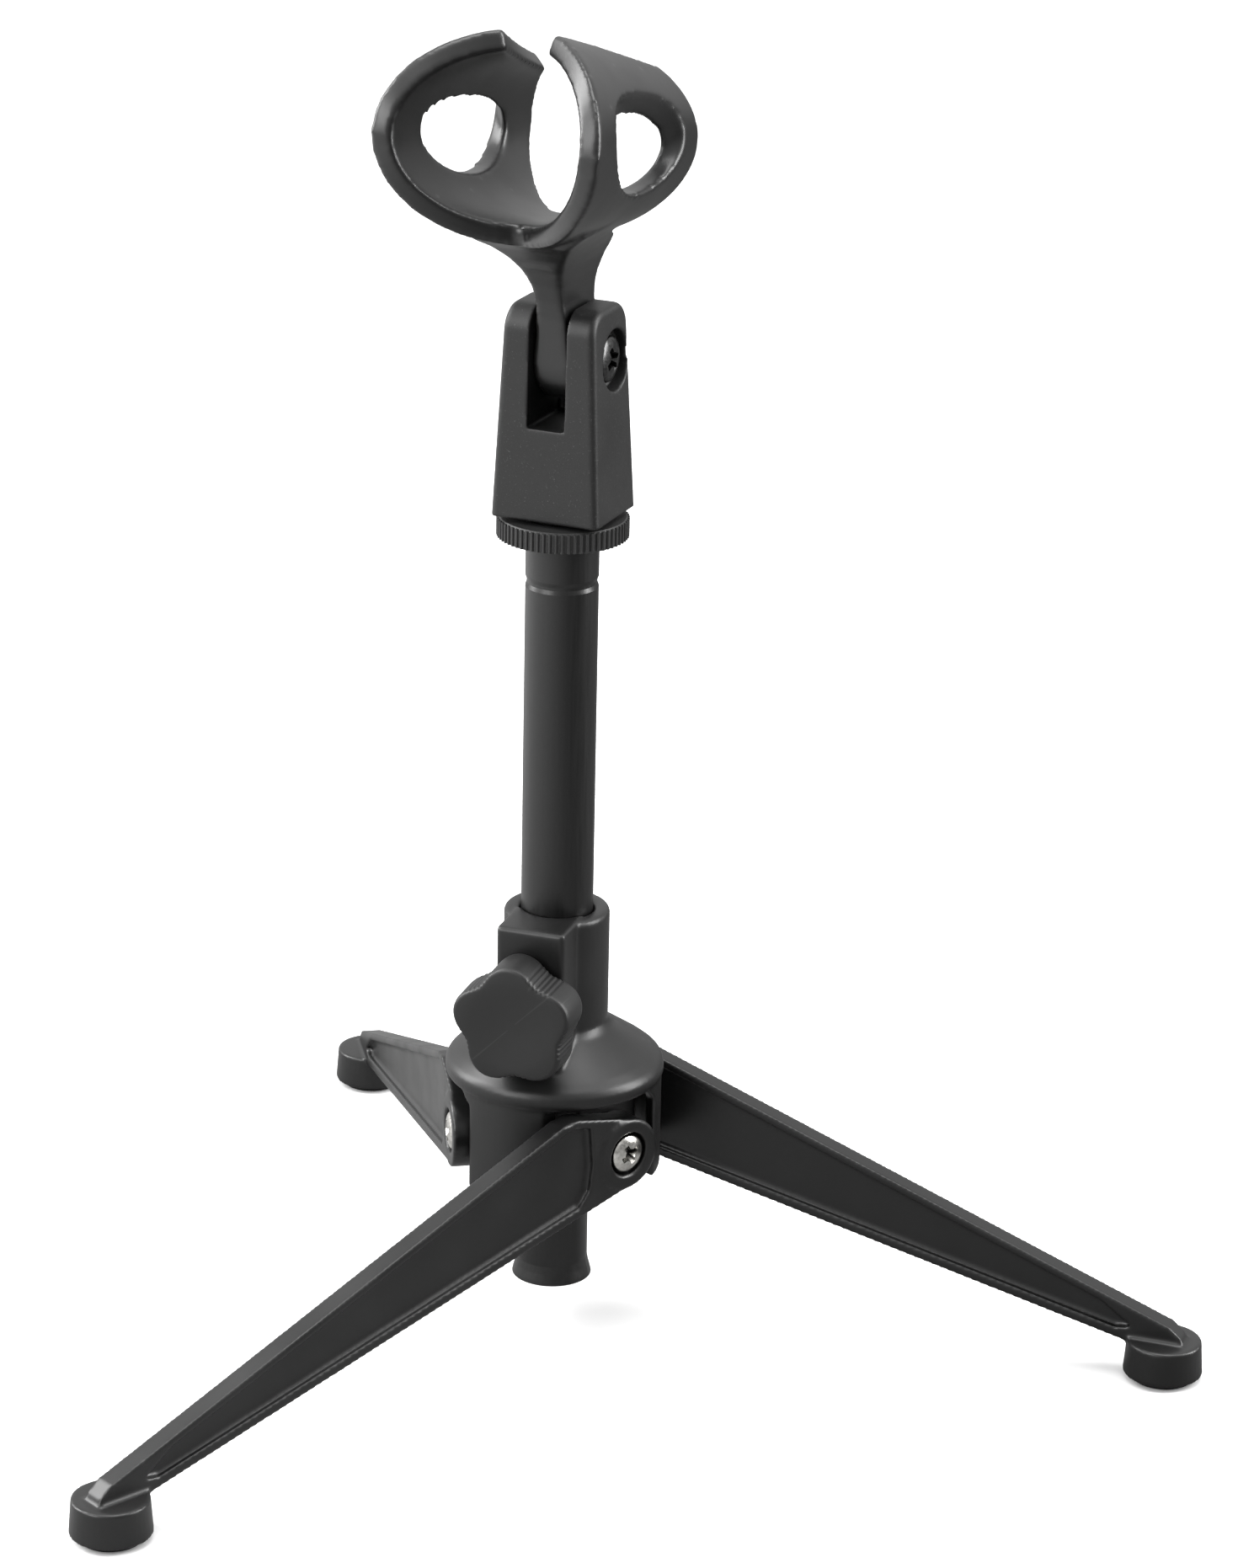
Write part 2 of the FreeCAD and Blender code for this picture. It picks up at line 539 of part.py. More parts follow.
def ellipse_wire(depth, wide, high):
    curve = Part.Ellipse(V(0, 0, 0), wide, high)
    wire = Part.Wire(curve.toShape())
    wire.Placement = FreeCAD.Placement(V(0, -depth, 0), FreeCAD.Rotation(V(1, 0, 0), 90))
    return wire


def tapered(shrink):
    """Solid cone-like tube body with an oval section that widens towards the mouth."""
    reach = 34.0
    wires = []
    for depth in (-reach, reach):
        grow = dim["jaw_taper"] * depth - shrink
        wires.append(ellipse_wire(depth, dim["jaw_wide"] + grow, dim["jaw_high"] + grow))
    return Part.makeLoft(wires, True, True)


def jaw_depth(angle, longest):
    """Reach of a jaw along the ring's axis, at an angle up or down from straight sideways."""
    swell = max(abs(math.cos(angle)), 1e-6) ** LENS_POWER
    return END_HALF + (longest - END_HALF) * swell


def rim_cutter(longest, way):
    """Everything beyond one wavy rim of the ring: a rim surface of spokes, pushed out along the axis."""
    edges = []
    for reach in (8.0, 30.0):
        spots = []
        for step in range(RIM_STEPS):
            angle = 2 * math.pi * step / RIM_STEPS
            spots.append(V(reach * math.cos(angle), way * jaw_depth(angle, longest), reach * math.sin(angle)))
        curve = Part.BSplineCurve()
        curve.interpolate(Points=spots, PeriodicFlag=True)
        edges.append(curve.toShape())
    rim = Part.makeRuledSurface(edges[0], edges[1])
    return rim.extrude(V(0, way * 40, 0))


ring_shape = tapered(0).cut(tapered(dim["jaw_wall"]))
ring_shape = ring_shape.cut(rim_cutter(FRONT_HALF, -1))
ring_shape = ring_shape.cut(rim_cutter(BACK_HALF, 1))


def window_cutter(side):
    """Oval opening through one jaw, wider outside than inside."""
    rims = []
    for across, long_half, high_half, lift in WINDOW:
        wire = Part.Wire(Part.Ellipse(V(0, 0, 0), long_half, high_half).toShape())
        lie = FreeCAD.Matrix(0, 0, 1, side * across, 1, 0, 0, 0.4, 0, 1, 0, lift, 0, 0, 0, 1)
        rims.append(wire.transformGeometry(lie))
    return Part.makeLoft(rims, True, False)


for side in (-1, 1):
    ring_shape = ring_shape.cut(window_cutter(side))


def gap_triangle(forward):
    """Section of the gap between the jaw tips, apex on the ring's axis; the gap opens towards the back."""
    half = 40 * (dim["jaw_gap_slope"] - dim["jaw_gap_growth"] * (forward - END_HALF))
    return Part.makePolygon([V(0, -forward, 0), V(half, -forward, 40), V(-half, -forward, 40), V(0, -forward, 0)])


ring_shape = ring_shape.cut(Part.makeLoft([gap_triangle(24), gap_triangle(-34)], True, True))
lean = FreeCAD.Placement(V(0, -dim["cradle_forward"], dim["cradle_level"]),
                         FreeCAD.Rotation(V(1, 0, 0), dim["cradle_lean"]))
ring_shape = ring_shape.transformed(lean.toMatrix())

# neck: the side view cut from a wide slab, narrowed by the front view
NECK_SIDE = [(6.8, 202.1), (6.9, 207.0), (7.4, 211.0), (8.4, 214.5), (10.1, 218.0), (12.4, 221.3), (15.2, 224.3),
             (18.4, 226.8), (22.0, 228.7), (22.3, 231.4), (3.0, 231.4), (0.0, 228.8), (-5.0, 226.4), (-9.4, 224.2),
             (-9.6, 222.0), (-8.8, 219.4), (-7.6, 216.0), (-7.1, 212.6), (-7.6, 208.0), (-9.9, 202.1)]
NECK_FRONT = [(2.7, 196.0), (2.7, 214.5), (3.1, 218.0), (3.9, 221.0), (5.4, 223.8), (7.4, 226.3), (10.0, 228.8),
              (13.2, 231.4)]
neck_side = Part.makePolygon([V(0, -k, z) for k, z in NECK_SIDE + NECK_SIDE[:1]])
neck = Part.Face(neck_side).extrude(V(60, 0, 0))
neck.translate(V(-30, 0, 0))
front_points = [V(x, 40, z) for x, z in NECK_FRONT] + [V(-x, 40, z) for x, z in reversed(NECK_FRONT)]
neck_front = Part.Face(Part.makePolygon(front_points + front_points[:1])).extrude(V(0, -80, 0))
neck = neck.common(neck_front)
hollow = tapered(dim["jaw_wall"]).transformed(lean.toMatrix())
neck = neck.cut(hollow)
tongue = Part.makeCylinder(dim["tongue_radius"], 2 * dim["tongue_half"], pivot - V(dim["tongue_half"], 0, 0),
                           V(1, 0, 0))
cradle_shape = ring_shape.fuse(neck).fuse(tongue)
cradle_shape = cradle_shape.cut(Part.makeCylinder(dim["tongue_bore_radius"], 20, pivot - V(10, 0, 0), V(1, 0, 0)))
cradle = doc.addObject("Part::Feature", "clip_cradle_moulding")
cradle.Shape = cradle_shape
keep(cradle, "clip_cradle", clip_place)

# ---------------------------------------------------------------- check and write
doc.recompute()
for thing in doc.Objects:
    if "Invalid" in thing.State or "Error" in thing.State:
        raise RuntimeError("%s failed: %s" % (thing.Label, thing.State))
for thing in parts:
    if thing.Shape.isNull() or not thing.Shape.isValid():
        raise RuntimeError("%s has no valid shape" % thing.Label)
    if len(thing.Shape.Solids) != 1:
        raise RuntimeError("%s is %d solids" % (thing.Label, len(thing.Shape.Solids)))
os.makedirs("parts", exist_ok=True)
for thing in parts:
    thing.Shape.exportStep("parts/%s.step" % thing.Label)
    print("%-16s volume %9.1f" % (thing.Label, thing.Shape.Volume))
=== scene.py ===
import bpy
import bmesh
import json
import math
from mathutils import Matrix, Vector


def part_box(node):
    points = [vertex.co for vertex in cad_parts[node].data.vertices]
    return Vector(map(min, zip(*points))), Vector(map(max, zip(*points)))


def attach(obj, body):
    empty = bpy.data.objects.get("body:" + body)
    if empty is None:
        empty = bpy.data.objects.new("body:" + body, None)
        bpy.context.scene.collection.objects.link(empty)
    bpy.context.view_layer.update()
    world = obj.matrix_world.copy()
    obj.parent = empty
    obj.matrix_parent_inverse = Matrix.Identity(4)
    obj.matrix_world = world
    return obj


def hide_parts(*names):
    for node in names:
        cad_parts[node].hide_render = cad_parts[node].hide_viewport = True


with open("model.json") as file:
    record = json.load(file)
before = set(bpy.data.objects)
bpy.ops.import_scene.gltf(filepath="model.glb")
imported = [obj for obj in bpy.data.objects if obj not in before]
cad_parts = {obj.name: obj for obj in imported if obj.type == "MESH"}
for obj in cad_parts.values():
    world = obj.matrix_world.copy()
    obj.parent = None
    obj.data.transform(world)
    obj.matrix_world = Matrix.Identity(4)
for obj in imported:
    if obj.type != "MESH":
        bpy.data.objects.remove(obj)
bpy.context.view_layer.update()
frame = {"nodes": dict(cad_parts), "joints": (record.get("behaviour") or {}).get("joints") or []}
joints = {joint["name"]: joint for joint in frame["joints"]}
mm = 0.001


# small helpers for nodes and colours

def toLinear(hexColour):
    channels = [int(hexColour[k:k + 2], 16) / 255 for k in (1, 3, 5)]
    bent = [c / 12.92 if c <= 0.04045 else ((c + 0.055) / 1.055) ** 2.4 for c in channels]
    return (*bent, 1.0)


def addNode(tree, kind, settings=None, links=None):
    # settings: a name sets a property, a number or "#Name" sets an input; links: input -> (node, output)
    node = tree.nodes.new(kind)
    for key, value in (settings or {}).items():
        if isinstance(key, int):
            node.inputs[key].default_value = value
        elif key.startswith("#"):
            node.inputs[key[1:]].default_value = value
        else:
            setattr(node, key, value)
    for key, (source, output) in (links or {}).items():
        tree.links.new(source.outputs[output], node.inputs[key])
    return node


def newMaterial(name):
    material = bpy.data.materials.new(name)
    material.use_nodes = True
    tree = material.node_tree
    tree.nodes.clear()
    return material, tree


# materials

def mouldedPlastic(name, look):
    # black moulded plastic: a satin skin with a fine spark-eroded grain, faint cloudy sheen changes and a
    # painted highlight along sharp edges
    material, tree = newMaterial(name)
    place = addNode(tree, "ShaderNodeTexCoord")
    grain = addNode(tree, "ShaderNodeTexNoise", {
        "#Scale": 1 / (look["grainMm"] * mm), "#Detail": 3.0, "#Roughness": 0.6,
    }, {"Vector": (place, "Object")})
    cloud = addNode(tree, "ShaderNodeTexNoise", {
        "#Scale": 1 / (look["cloudMm"] * mm), "#Detail": 2.0,
    }, {"Vector": (place, "Object")})
    tone = addNode(tree, "ShaderNodeValToRGB", links={"Fac": (cloud, "Fac")})
    tone.color_ramp.elements[0].position = 0.3
    tone.color_ramp.elements[0].color = toLinear(look["dark"])
    tone.color_ramp.elements[1].position = 0.75
    tone.color_ramp.elements[1].color = toLinear(look["light"])
    speck = addNode(tree, "ShaderNodeMapRange", {
        "#From Min": 0.62, "#From Max": 0.78, "#To Min": 0.0, "#To Max": look["speckle"],
    }, {"Value": (grain, "Fac")})
    fleck = addNode(tree, "ShaderNodeMixRGB", {2: toLinear(look["fleck"])}, {
        "Fac": (speck, "Result"), 1: (tone, "Color"),
    })
    # painted highlight: sharp edges, found by the mesh's pointiness, are mixed towards a paler colour that
    # stands for the thin bright lines edges catch
    surfaceInfo = addNode(tree, "ShaderNodeNewGeometry")
    edge = addNode(tree, "ShaderNodeMapRange", {
        "#From Min": 0.53, "#From Max": 0.62, "#To Min": 0.0, "#To Max": look["edge"],
    }, {"Value": (surfaceInfo, "Pointiness")})
    edgeHighlighted = addNode(tree, "ShaderNodeMixRGB", {2: toLinear(look["edgeHighlight"])}, {
        "Fac": (edge, "Result"), 1: (fleck, "Color"),
    })
    sheen = addNode(tree, "ShaderNodeMapRange", {
        "#From Min": 0.25, "#From Max": 0.75,
        "#To Min": look["rough"] - 0.05, "#To Max": look["rough"] + 0.06,
    }, {"Value": (cloud, "Fac")})
    bump = addNode(tree, "ShaderNodeBump", {
        "#Strength": look["bump"], "#Distance": look["bumpMm"] * mm,
    }, {"Height": (grain, "Fac")})
    skin = addNode(tree, "ShaderNodeBsdfPrincipled", {"#IOR": look["ior"], "#Metallic": 0.0}, {
        "Base Color": (edgeHighlighted, "Color"), "Roughness": (sheen, "Result"), "Normal": (bump, "Normal"),
    })
    addNode(tree, "ShaderNodeOutputMaterial", links={"Surface": (skin, "BSDF")})
    return material


def platedSteel(name, look):
    # plated or coated steel: drawn lines along the part, cloudy roughness, and painted shade that turns deep
    # recesses near-black
    material, tree = newMaterial(name)
    place = addNode(tree, "ShaderNodeTexCoord")
    stretch = addNode(tree, "ShaderNodeMapping", {"#Scale": look["stretch"]}, {"Vector": (place, "Object")})
    lines = addNode(tree, "ShaderNodeTexNoise", {
        "#Scale": 1 / (look["grainMm"] * mm), "#Detail": 4.0,
    }, {"Vector": (stretch, "Vector")})
    tone = addNode(tree, "ShaderNodeValToRGB", links={"Fac": (lines, "Fac")})
    tone.color_ramp.elements[0].position = 0.35
    tone.color_ramp.elements[0].color = toLinear(look["dark"])
    tone.color_ramp.elements[1].position = 0.7
    tone.color_ramp.elements[1].color = toLinear(look["light"])
    rough = addNode(tree, "ShaderNodeMapRange", {
        "#From Min": 0.3, "#From Max": 0.7,
        "#To Min": look["rough"] - 0.05, "#To Max": look["rough"] + 0.05,
    }, {"Value": (lines, "Fac")})
    bump = addNode(tree, "ShaderNodeBump", {
        "#Strength": look["bump"], "#Distance": look["bumpMm"] * mm,
    }, {"Height": (lines, "Fac")})
    # painted shade: where ambient occlusion finds a recess within 1.6 mm, the base colour is mixed towards
    # near-black #060606
    hollow = addNode(tree, "ShaderNodeAmbientOcclusion", {"samples": 8, "#Distance": 1.6 * mm})
    clear = addNode(tree, "ShaderNodeMapRange", {"#From Min": 0.35, "#From Max": 0.75}, {
        "Value": (hollow, "AO"),
    })
    recessShaded = addNode(tree, "ShaderNodeMixRGB", {1: toLinear("#060606")}, {
        "Fac": (clear, "Result"), 2: (tone, "Color"),
    })
    skin = addNode(tree, "ShaderNodeBsdfPrincipled", {"#Metallic": look["metal"]}, {
        "Base Color": (recessShaded, "Color"), "Roughness": (rough, "Result"), "Normal": (bump, "Normal"),
    })
    addNode(tree, "ShaderNodeOutputMaterial", links={"Surface": (skin, "BSDF")})
    return material


# the values that the black mouldings share, with the colour and strength of the painted edge highlight
plasticLook = {
    "dark": "#050505", "light": "#0b0b0b", "fleck": "#242424", "edgeHighlight": "#2a2a2a",
    "grainMm": 0.28, "cloudMm": 14.0, "speckle": 0.12, "edge": 0.5,
    "rough": 0.42, "bump": 0.2, "bumpMm": 0.02, "ior": 1.5,
}
# ABS from a spark-eroded mould: nearly black, with a soft satin sheen
absHub = mouldedPlastic("satinAbsHub", plasticLook)
# ABS from a smoother mould: a little glossier than the hub
absLeg = mouldedPlastic("satinAbsLeg", {
    **plasticLook, "dark": "#060606", "light": "#0d0d0d", "rough": 0.36, "bump": 0.12,
})
# ABS from a rougher mould: slightly paler and duller, with more fleck
absKnob = mouldedPlastic("satinAbsKnob", {
    **plasticLook, "dark": "#080808", "light": "#0f0f0f", "rough": 0.46, "bump": 0.25, "speckle": 0.25,
})
# nylon from a textured mould: a rough grain with a pale fleck
grainedNylon = mouldedPlastic("grainedNylonClip", {
    **plasticLook, "dark": "#070707", "light": "#0e0e0e", "fleck": "#565656", "grainMm": 0.42,
    "speckle": 0.5, "rough": 0.5, "bump": 0.6, "bumpMm": 0.035,
})
# nylon from a smooth mould: the palest black here, with a cleaner sheen and a paler painted edge highlight
flexNylon = mouldedPlastic("flexNylonCradle", {
    **plasticLook, "dark": "#0b0b0b", "light": "#131313", "fleck": "#303030", "edgeHighlight": "#383838",
    "rough": 0.36, "bump": 0.16, "speckle": 0.18, "ior": 1.55,
})
# moulded rubber: matte, with hardly any highlight
padRubber = mouldedPlastic("matteRubberPad", {
    **plasticLook, "dark": "#080808", "light": "#0e0e0e", "rough": 0.75, "bump": 0.3, "grainMm": 0.5,
})
# steel tube, black coated: satin black with faint lines along it
coatedTube = platedSteel("blackCoatedSteelTube", {
    "dark": "#060606", "light": "#0b0b0b", "grainMm": 0.5, "stretch": (1, 1, 0.03),
    "rough": 0.36, "bump": 0.05, "bumpMm": 0.01, "metal": 0.0,
})
# steel, bright zinc plated: pale and shiny
zincPlate = platedSteel("brightZincPlate", {
    "dark": "#b9b7b2", "light": "#e6e4df", "grainMm": 0.8, "stretch": (1, 1, 1),
    "rough": 0.22, "bump": 0.08, "bumpMm": 0.01, "metal": 1.0,
})
# steel, dark oxide: dark grey metal
darkOxide = platedSteel("darkOxideSteel", {
    "dark": "#3b3b3b", "light": "#565656", "grainMm": 0.8, "stretch": (1, 1, 1),
    "rough": 0.3, "bump": 0.08, "bumpMm": 0.01, "metal": 1.0,
})
# turned brass: warm yellow metal with fine turning lines
turnedBrass = platedSteel("turnedBrass", {
    "dark": "#a8873f", "light": "#d3b265", "grainMm": 0.6, "stretch": (1, 1, 6),
    "rough": 0.28, "bump": 0.1, "bumpMm": 0.01, "metal": 1.0,
})
print("materials made")


# helpers for meshes

def linked(name, mesh):
    thing = bpy.data.objects.new(name, mesh)
    bpy.context.scene.collection.objects.link(thing)
    return thing


def finishedPiece(name, mesh, material, body, nodes=()):
    mesh.materials.clear()
    mesh.materials.append(material)
    piece = linked(name, mesh)
    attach(piece, body)
    if nodes:
        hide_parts(*nodes)
    return piece


def baked(temp):
    # the evaluated object as a plain mesh; the helper object goes away
    seen = temp.evaluated_get(bpy.context.evaluated_depsgraph_get())
    mesh = bpy.data.meshes.new_from_object(seen)
    bpy.data.objects.remove(temp)
    return mesh


def mergedCopy(node, turn=0.0):
    mesh = frame["nodes"][node].data.copy()
    shape = bmesh.new()
    shape.from_mesh(mesh)
    bmesh.ops.remove_doubles(shape, verts=shape.verts, dist=0.003 * mm)
    bmesh.ops.transform(shape, matrix=Matrix.Rotation(-turn, 4, "Z"), verts=shape.verts)
    for face in shape.faces:
        face.smooth = True
    shape.to_mesh(mesh)
    shape.free()
    return mesh


def moulded(node, voxelMm, rounds, turn=0.0, swellMm=0.0):
    # a moulding with its corners melted round: remeshed in the piece's own direction, relaxed, and
    # swollen by what the relaxing takes off thin rims
    temp = linked(node + "Temp", mergedCopy(node, turn))
    melt = temp.modifiers.new("melt", "REMESH")
    melt.mode = "VOXEL"
    melt.voxel_size = voxelMm * mm
    melt.use_smooth_shade = True
    relax = temp.modifiers.new("relax", "SMOOTH")
    relax.factor = 0.5
    relax.iterations = rounds
    swell = temp.modifiers.new("swell", "DISPLACE")
    swell.strength = swellMm * mm
    swell.mid_level = 0.0
    mesh = baked(temp)
    mesh.transform(Matrix.Rotation(turn, 4, "Z"))
    mesh.polygons.foreach_set("use_smooth", [True] * len(mesh.polygons))
    return mesh


def lathed(profile, steps=64):
    # a closed turned shape about +Z from (radius, height) pairs, given bottom to top, ends on the axis
    shape = bmesh.new()
    rings = []
    for radius, height in profile:
        if radius < 1e-7:
            rings.append([shape.verts.new((0, 0, height))])
            continue
        turns = [2 * math.pi * k / steps for k in range(steps)]
        rings.append([shape.verts.new((radius * math.cos(a), radius * math.sin(a), height)) for a in turns])
    for low, high in zip(rings, rings[1:]):
        for k in range(steps):
            after = (k + 1) % steps
            corners = [low[k % len(low)], low[after % len(low)], high[after % len(high)], high[k % len(high)]]
            face = shape.faces.new(list(dict.fromkeys(corners)))
            face.smooth = True
    return shape


def axisPlace(point, axis):
    # matrix that puts local +Z along an axis through a point
    return Matrix.Translation(Vector(point)) @ Vector(axis).to_track_quat("Z", "Y").to_matrix().to_4x4()


# mouldings: the CAD shapes with their real, soft edges

clipTurn = math.radians(-4.3)
legTurns = {"1": math.radians(-120), "2": 0.0, "3": math.radians(120)}
legBodies = {"1": "front_leg", "2": "right_leg", "3": "back_leg"}

# voxel size in mm and rounds of relaxing, then what the cradle is swollen by
meltLook = {"hub": (0.45, 3), "clip": (0.3, 3), "cradle": (0.45, 18), "leg": (0.42, 3), "cradleSwellMm": 0.14}

finishedPiece("hubMoulding", moulded("hub_body", *meltLook["hub"]), absHub, "hub", ["hub_body"])
finishedPiece("clipBaseMoulding", moulded("clip_base", *meltLook["clip"], clipTurn), grainedNylon, "clip",
              ["clip_base"])
# the tongue is widened in the slot; the widening fades out at its low and high ends
tongueLook = {
    "lowMm": 196.0, "lowFadeMm": 3, "highMm": 214.0, "highFadeMm": 5, "widenMm": 0.45, "halfMm": 2.2,
}
cradleMesh = moulded("clip_cradle", *meltLook["cradle"], clipTurn, meltLook["cradleSwellMm"])
clipAcross = Vector((math.cos(clipTurn), math.sin(clipTurn), 0))
for vert in cradleMesh.vertices:
    high = vert.co.z / mm
    fadeHigh = max(0.0, (tongueLook["highMm"] - high) / tongueLook["highFadeMm"])
    fadeLow = max(0.0, (high - tongueLook["lowMm"]) / tongueLook["lowFadeMm"])
    wide = min(1.0, fadeHigh, fadeLow) * tongueLook["widenMm"] * mm
    side = vert.co.dot(clipAcross) / (tongueLook["halfMm"] * mm)
    vert.co += clipAcross * wide * max(-1.0, min(1.0, side))
finishedPiece("cradleMoulding", cradleMesh, flexNylon, "cradle", ["clip_cradle"])
for mark, turn in legTurns.items():
    finishedPiece("legMoulding" + mark, moulded("leg_" + mark, *meltLook["leg"], turn), absLeg,
                  legBodies[mark], ["leg_" + mark])
print("mouldings made")


# clamp knob: five lobes, a dished face and fine grip ribs in the hollows

knobLook = {
    "lobes": 5, "firstLobeDeg": 95, "lobeMm": 12.5, "hollowMm": 10.5, "thickMm": 9.6, "dishMm": 0.45,
    "ribMm": 0.95, "ribDeepMm": 0.16, "steps": 600, "backInsetMm": 1.5,
    "faceRadiiMm": (9.2, 8.8, 8.2, 7.4, 6.4, 5.2, 3.8, 2.4, 1.0),
}


def knobReach(angle, inset):
    wave = 0.5 + 0.5 * math.cos(knobLook["lobes"] * angle)
    reach = knobLook["hollowMm"] + (knobLook["lobeMm"] - knobLook["hollowMm"]) * wave ** 0.8
    grip = max(0.0, 1 - wave / 0.45)
    ribs = 0.5 + 0.5 * math.cos(2 * math.pi * angle * knobLook["hollowMm"] / knobLook["ribMm"])
    return reach - inset - knobLook["ribDeepMm"] * ribs * min(1.0, 3 * grip) * (inset < 0.5)


def knobMesh():
    thick = knobLook["thickMm"]
    # (height, inset from the full outline) pairs, back edge to front edge
    rims = [(0.0, 1.5), (0.15, 1.15), (0.5, 0.7), (0.9, 0.3), (1.4, 0.05), (2.0, 0.0), (thick - 1.3, 0.1),
            (thick - 0.6, 0.22), (thick - 0.25, 0.4), (thick - 0.05, 0.7), (thick, 1.05)]
    shape = bmesh.new()
    rings = []
    start = math.radians(knobLook["firstLobeDeg"])
    turns = [2 * math.pi * k / knobLook["steps"] for k in range(knobLook["steps"])]

    def addRing(heightOf, reachOf):
        ring = []
        for a in turns:
            reach = reachOf(a)
            spot = (reach * math.cos(a + start), reach * math.sin(a + start), heightOf(reach))
            ring.append(shape.verts.new(Vector(spot) * mm))
        rings.append(ring)

    def dished(reach):
        # the front face: a shallow round dish, level again at the lobes
        return thick - knobLook["dishMm"] * max(0.0, 1 - (reach / (knobLook["hollowMm"] - 1.2)) ** 2) ** 1.5

    for shrink in (0.3, 0.7):
        addRing(lambda reach: 0.0, lambda a: knobReach(a, knobLook["backInsetMm"]) * shrink)
    for height, inset in rims:
        addRing(lambda reach: height, lambda a: knobReach(a, inset))
    for reach in knobLook["faceRadiiMm"]:
        addRing(dished, lambda a: reach)
    for low, high in zip(rings, rings[1:]):
        for k in range(len(turns)):
            after = (k + 1) % len(turns)
            shape.faces.new((low[k], low[after], high[after], high[k])).smooth = True
    shape.faces.new(list(reversed(rings[0])))
    shape.faces.new(rings[-1])
    mesh = bpy.data.meshes.new("clampKnob")
    knobJoint = joints["knob_turn"]
    shape.transform(axisPlace(knobJoint["pos_m"], knobJoint["axis"]))
    shape.to_mesh(mesh)
    shape.free()
    return mesh


finishedPiece("knobMoulding", knobMesh(), absKnob, "knob", ["clamp_knob"])
print("knob made")


# pan-head screws with a cross recess

screwLook = {
    "headMm": 3.85, "riseMm": 2.1, "domeMm": 1.15, "softMm": 0.09, "turnDeg": 28,
    "recessMm": 4.9, "slotMm": 1.2, "deepMm": 1.8, "coreMm": 1.3, "overMm": 0.4,
}


def crossCutter(look):
    # four tapered wings and a cone: the driver's tip
    rise, over = look["riseMm"], look["overMm"]
    cutters = []
    for turn in (0, 90):
        shape = bmesh.new()
        bmesh.ops.create_cube(shape, size=1.0)
        for vert in shape.verts:
            high = vert.co.z > 0
            across = look["recessMm"] * (1.0 if high else 0.42)
            wide = look["slotMm"] * (1.12 if high else 0.7)
            level = rise + over if high else rise - look["deepMm"]
            vert.co = Vector((vert.co.x * across, vert.co.y * wide, level))
        shape.transform(Matrix.Rotation(math.radians(turn + look["turnDeg"]), 4, "Z"))
        cutters.append(shape)
    cone = bmesh.new()
    bmesh.ops.create_cone(cone, cap_ends=True, segments=24, radius1=0.35 * look["coreMm"],
                          radius2=look["coreMm"] * 1.15, depth=look["deepMm"] + over)
    cone.transform(Matrix.Translation((0, 0, rise - (look["deepMm"] - over) / 2)))
    return cutters + [cone]


def screwMesh(name, look, shankMm, shankLongMm, place):
    head, rise, tall = look["headMm"], look["riseMm"], look["domeMm"]
    dome = [(head * math.sin(a), rise - tall + tall * math.cos(a))
            for a in [math.radians(90 - 10 * k) for k in range(10)]]
    profile = [(0, -shankLongMm), (shankMm - 0.5, -shankLongMm), (shankMm, -shankLongMm + 0.5),
               (shankMm, 0), (head - 0.15, 0), (head, 0.15)] + dome
    shape = lathed(profile, 72)
    mesh = bpy.data.meshes.new(name)
    shape.to_mesh(mesh)
    shape.free()
    temp = linked(name + "Temp", mesh)
    tools = []
    for number, cutter in enumerate(crossCutter(look)):
        toolMesh = bpy.data.meshes.new(name + "Tool")
        cutter.to_mesh(toolMesh)
        cutter.free()
        tool = linked("%sTool%d" % (name, number), toolMesh)
        cut = temp.modifiers.new("cross%d" % number, "BOOLEAN")
        cut.operation = "DIFFERENCE"
        cut.solver = "EXACT"
        cut.object = tool
        tools.append(tool)
    soften = temp.modifiers.new("soften", "BEVEL")
    soften.width = look["softMm"]
    soften.segments = 2
    soften.limit_method = "ANGLE"
    soften.angle_limit = math.radians(35)
    bpy.context.view_layer.update()
    result = baked(temp)
    for tool in tools:
        bpy.data.objects.remove(tool)
    result.transform(place @ Matrix.Scale(mm, 4))
    result.polygons.foreach_set("use_smooth", [True] * len(result.polygons))
    result.set_sharp_from_angle(angle=math.radians(32))
    return result


legSeatMm = 19.95 - 18.9      # height of a leg screw's head above the leg's mid plane
clipSeatMm = 7.1              # floor of the cheek's recess, out from the clip's middle
for mark in legTurns:
    joint = joints[legBodies[mark] + "_fold"]
    seat = axisPlace(joint["pos_m"], joint["axis"]) @ Matrix.Translation((0, 0, legSeatMm * mm))
    finishedPiece("legScrew" + mark, screwMesh("legScrew" + mark, screwLook, 2.0, 10.9, seat), zincPlate,
                  "hub", ["leg_screw_" + mark])
clipScrewLook = {
    **screwLook, "headMm": 4.5, "riseMm": 2.3, "recessMm": 6.0, "slotMm": 1.4, "deepMm": 1.9, "coreMm": 1.55,
}
tilt = joints["clip_tilt"]
clipSeat = axisPlace(tilt["pos_m"], tilt["axis"]) @ Matrix.Translation((0, 0, clipSeatMm * mm))
finishedPiece("clipScrew", screwMesh("clipScrew", clipScrewLook, 2.5, 16.4, clipSeat), darkOxide,
              "clip", ["clip_screw"])
print("screws made")


# lock ring: a turned core with knurl ribs instanced round it

ringLook = {"ribs": 66, "ribMm": 0.62, "coreMm": 12.55, "boreMm": 8.02, "bevelMm": 0.35}


